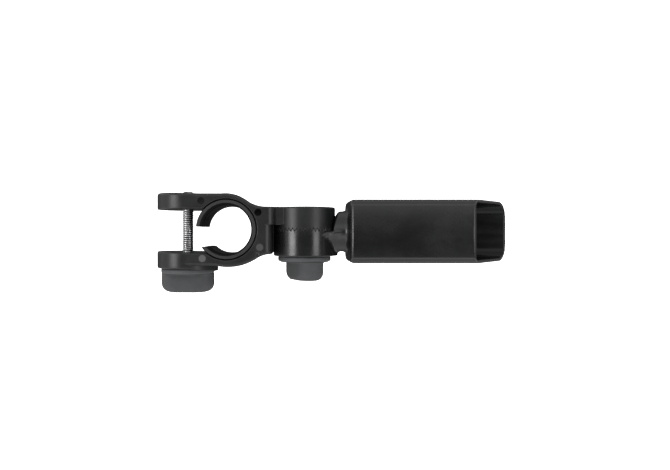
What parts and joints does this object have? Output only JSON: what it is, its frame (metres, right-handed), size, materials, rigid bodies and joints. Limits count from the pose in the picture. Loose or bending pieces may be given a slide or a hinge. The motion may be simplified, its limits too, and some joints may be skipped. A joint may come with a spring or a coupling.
{
  "type": "rod holder",
  "caption": "Clamp-on rod holder: split leg clamp with reducer, toothed tilting knuckle, two screw knobs and an oblique-mouthed square cup.",
  "frame": {"origin": "centre of the leg bore, half way along its depth", "axes": "+Z along the leg bore, +X along the arm from the bore to the cup, knobs on the -Y side"},
  "size_m": [0.1921, 0.0533, 0.0328],
  "materials": {
    "clamp_nylon": "satin moulded nylon, fine texture",
    "reducer_plastic": "matt, slightly rubbery",
    "cup_plastic": "semi-gloss moulded",
    "knob_plastic": "matt",
    "knob_rubber": "soft-touch",
    "steel": "bright zinc plated"
  },
  "bodies": {
    "clamp": {"clamp_body": "clamp_nylon", "leg_reducer": "reducer_plastic", "clamp_nut": "steel", "knuckle_nut": "steel", "knuckle_spring": "steel"},
    "clamp_slider": {"clamp_washer": "steel"},
    "clamp_turner": {"clamp_screw": "steel", "clamp_knob": "knob_plastic", "clamp_knob_grip": "knob_rubber"},
    "knuckle_slider": {"knuckle_washer": "steel"},
    "knuckle_turner": {"knuckle_screw": "steel", "knuckle_knob": "knob_plastic", "knuckle_knob_grip": "knob_rubber"},
    "cup": {"rod_cup": "cup_plastic"}
  },
  "joints": [
    {"name": "clamp_screw_travel", "type": "slide", "parent": "clamp", "child": "clamp_slider", "axis": [0, -1, 0], "range_m": [0, 0.004]},
    {"name": "clamp_knob_turn", "type": "hinge", "parent": "clamp_slider", "child": "clamp_turner", "pos_m": [-0.0221, 0, 0], "axis": [0, -1, 0], "range_deg": [0, 1441]},
    {"name": "knuckle_screw_travel", "type": "slide", "parent": "clamp", "child": "knuckle_slider", "axis": [0, -1, 0], "range_m": [0, 0.003], "deforming": ["knuckle_spring"]},
    {"name": "knuckle_knob_turn", "type": "hinge", "parent": "knuckle_slider", "child": "knuckle_turner", "pos_m": [0.04, 0, 0], "axis": [0, -1, 0], "range_deg": [0, 1081]},
    {"name": "cup_tilt", "type": "hinge", "parent": "knuckle_slider", "child": "cup", "pos_m": [0.04, 0, 0], "axis": [0, -1, 0], "range_deg": [-75, 75]}
  ],
  "couplings": [
    {"joint": "clamp_knob_turn", "follows": "clamp_screw_travel", "rad_per_m": 6283.2},
    {"joint": "knuckle_knob_turn", "follows": "knuckle_screw_travel", "rad_per_m": 6283.2}
  ]
}
